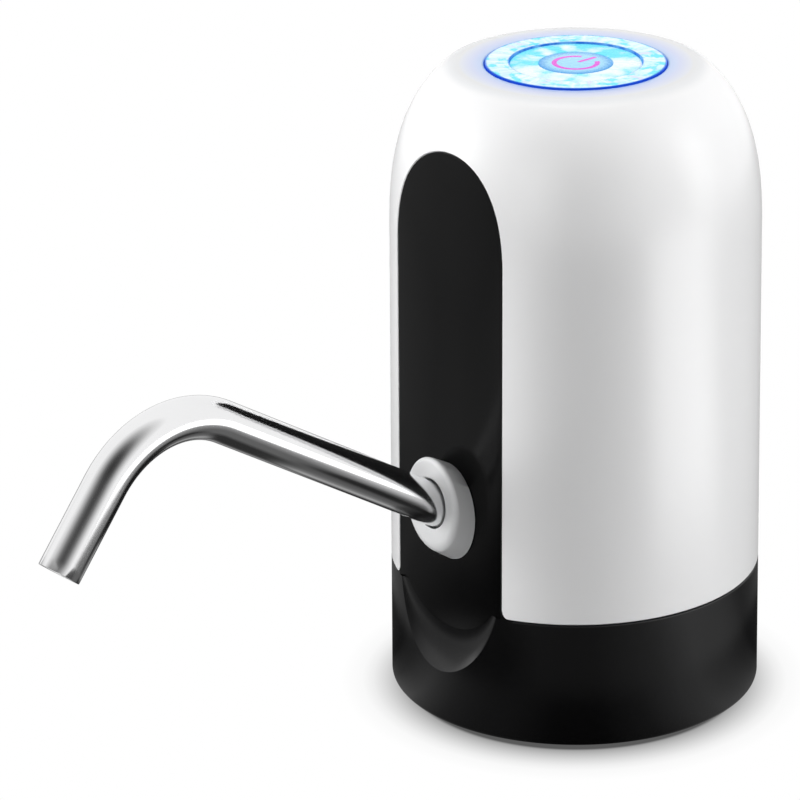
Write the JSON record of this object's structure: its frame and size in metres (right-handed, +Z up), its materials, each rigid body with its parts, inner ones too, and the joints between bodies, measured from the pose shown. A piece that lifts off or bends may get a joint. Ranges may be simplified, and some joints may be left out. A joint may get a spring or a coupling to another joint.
{
  "type": "bottled water pump",
  "caption": "Rechargeable pump for a water bottle: a domed housing on a cup that grips the neck, a lit push button on top and a bent steel spout that swivels.",
  "frame": {"origin": "on the surface that the pump stands on, under the middle of its bounding box", "axes": "+Z up, -Y towards the tip of the spout, +X to the right of someone who faces the spout from behind the tip"},
  "size_m": [0.072, 0.1634, 0.1248],
  "materials": {
    "shell_white": "glossy moulded shell",
    "base_black": "smooth moulded base",
    "panel_black": "high gloss panel",
    "grip_rubber": "soft fins",
    "black_rubber": "moulded rubber",
    "natural_plastic": "uncoloured moulding",
    "grey_plastic": "moulded grey",
    "seat_grey": "pale satin moulding",
    "sleeve_grey": "satin grey moulding",
    "plated_steel": "plated",
    "polished_steel": "polished stainless steel",
    "brass_tab": "stamped",
    "magnet": "sintered ferrite",
    "cell_wrap": "shrink sleeve over a metal can",
    "board_green": "circuit board",
    "switch_black": "moulded black",
    "led_white": "light emitting diode",
    "clear_plastic": "clear moulding",
    "light_plastic": "lit from below",
    "frosted_plastic": "frosted, lit from below",
    "lens_plastic": "frosted, lit from below",
    "clear_hose": "translucent silicone"
  },
  "bodies": {
    "housing": {"base_cup": "base_black", "base_screw_1": "plated_steel", "base_screw_2": "plated_steel", "base_screw_3": "plated_steel", "battery_cell": "cell_wrap", "board_screw_1": "plated_steel", "board_screw_2": "plated_steel", "board_screw_3": "plated_steel", "button_spring": "plated_steel", "cell_tab_bottom": "plated_steel", "cell_tab_top": "plated_steel", "charge_board": "board_green", "charge_indicator": "clear_plastic", "charge_socket": "plated_steel", "control_board": "board_green", "crankcase": "natural_plastic", "delivery_hose": "clear_hose", "diaphragm": "black_rubber", "front_panel": "panel_black", "light_ring": "light_plastic", "motor_can": "plated_steel", "motor_end": "grey_plastic", "motor_magnet_1": "magnet", "motor_magnet_2": "magnet", "motor_terminal_1": "brass_tab", "motor_terminal_2": "brass_tab", "neck_grip": "grip_rubber", "outer_shell": "shell_white", "outlet_elbow": "natural_plastic", "outlet_ring": "black_rubber", "outlet_seat": "seat_grey", "pump_chassis": "natural_plastic", "pump_cover": "natural_plastic", "pump_screw_1": "plated_steel", "pump_screw_2": "plated_steel", "pump_screw_3": "plated_steel", "pump_screw_4": "plated_steel", "ring_led_1": "led_white", "ring_led_2": "led_white", "ring_led_3": "led_white", "ring_led_4": "led_white", "ring_led_5": "led_white", "ring_led_6": "led_white", "seat_screw_1": "plated_steel", "seat_screw_2": "plated_steel", "tact_switch": "switch_black", "valve_plate": "grey_plastic", "wobble_plate": "grey_plastic"},
    "button": {"button_cap": "frosted_plastic", "button_lens": "lens_plastic"},
    "plunger": {"switch_plunger": "grey_plastic"},
    "swivel": {"spout_sleeve": "sleeve_grey"},
    "spout": {"spout_tube": "polished_steel"},
    "rotor": {"motor_shaft": "polished_steel", "armature": "plated_steel", "crank": "grey_plastic"}
  },
  "joints": [
    {"name": "button_press", "type": "slide", "parent": "housing", "child": "button", "axis": [0, 0, -1], "range_m": [0, 0.0006], "stiffness_N_per_m": 600, "springref_m": -0.001, "deforming": ["button_spring"]},
    {"name": "switch_press", "type": "slide", "parent": "housing", "child": "plunger", "axis": [0, 0, -1], "range_m": [0, 0.00065]},
    {"name": "spout_swivel", "type": "hinge", "parent": "housing", "child": "swivel", "pos_m": [0, 0.01307, 0.0429], "axis": [0, -0.8536, 0.521], "continuous": true},
    {"name": "spout_pull", "type": "slide", "parent": "swivel", "child": "spout", "axis": [0, -0.8536, 0.521], "range_m": [0, 0.018]},
    {"name": "motor_spin", "type": "hinge", "parent": "housing", "child": "rotor", "pos_m": [0, 0.04374, 0.07], "axis": [0, 0, 1], "continuous": true}
  ],
  "couplings": [
    {"joint": "switch_press", "follows": "button_press", "ratio": 1}
  ]
}
